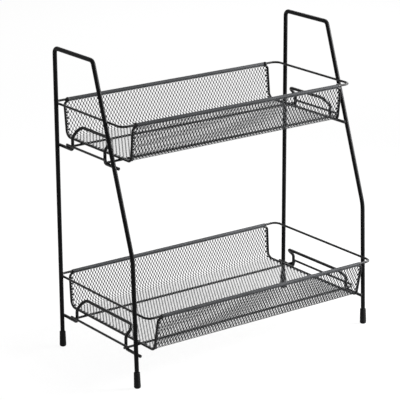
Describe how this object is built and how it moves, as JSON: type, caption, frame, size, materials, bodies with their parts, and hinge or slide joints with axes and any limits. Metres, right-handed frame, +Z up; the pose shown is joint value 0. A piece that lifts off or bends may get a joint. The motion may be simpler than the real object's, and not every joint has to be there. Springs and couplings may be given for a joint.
{
  "type": "tiered wire basket",
  "caption": "Tiered wire rack: mesh baskets one above the other between bent-wire side frames whose tops are carrying handles, on rubber feet.",
  "frame": {"origin": "on the table, in the middle of the rack's footprint", "axes": "+Z up, X along the baskets, -Y is the front where the lower basket stands further out"},
  "size_m": [0.3676, 0.2042, 0.3927],
  "materials": {
    "coated_frame_wire": "satin black powder coat on steel wire",
    "coated_thin_wire": "satin black powder coat on thin steel wire",
    "binding_strip": "smooth black coat with a grey sheen on rolled strip",
    "steel_mesh": "black coat on fine expanded steel mesh",
    "foot_rubber": "matt black soft PVC"
  },
  "bodies": {
    "root": {"left_side_frame": "coated_frame_wire", "left_back_foot": "foot_rubber", "left_front_foot": "foot_rubber", "right_side_frame": "coated_frame_wire", "right_back_foot": "foot_rubber", "right_front_foot": "foot_rubber", "lower_rim_wire": "coated_thin_wire", "lower_back_binding": "binding_strip", "lower_front_binding": "binding_strip", "lower_mesh_tray": "steel_mesh", "lower_left_mesh_end_wire": "coated_thin_wire", "lower_left_cross_bar": "coated_thin_wire", "lower_left_end_stop": "coated_thin_wire", "lower_right_mesh_end_wire": "coated_thin_wire", "lower_right_cross_bar": "coated_thin_wire", "lower_right_end_stop": "coated_thin_wire", "lower_back_support_wire": "coated_thin_wire", "lower_front_support_wire": "coated_thin_wire", "upper_rim_wire": "coated_thin_wire", "upper_back_binding": "binding_strip", "upper_front_binding": "binding_strip", "upper_mesh_tray": "steel_mesh", "upper_left_mesh_end_wire": "coated_thin_wire", "upper_left_cross_bar": "coated_thin_wire", "upper_left_end_stop": "coated_thin_wire", "upper_right_mesh_end_wire": "coated_thin_wire", "upper_right_cross_bar": "coated_thin_wire", "upper_right_end_stop": "coated_thin_wire", "upper_back_support_wire": "coated_thin_wire", "upper_front_support_wire": "coated_thin_wire"}
  },
  "joints": []
}
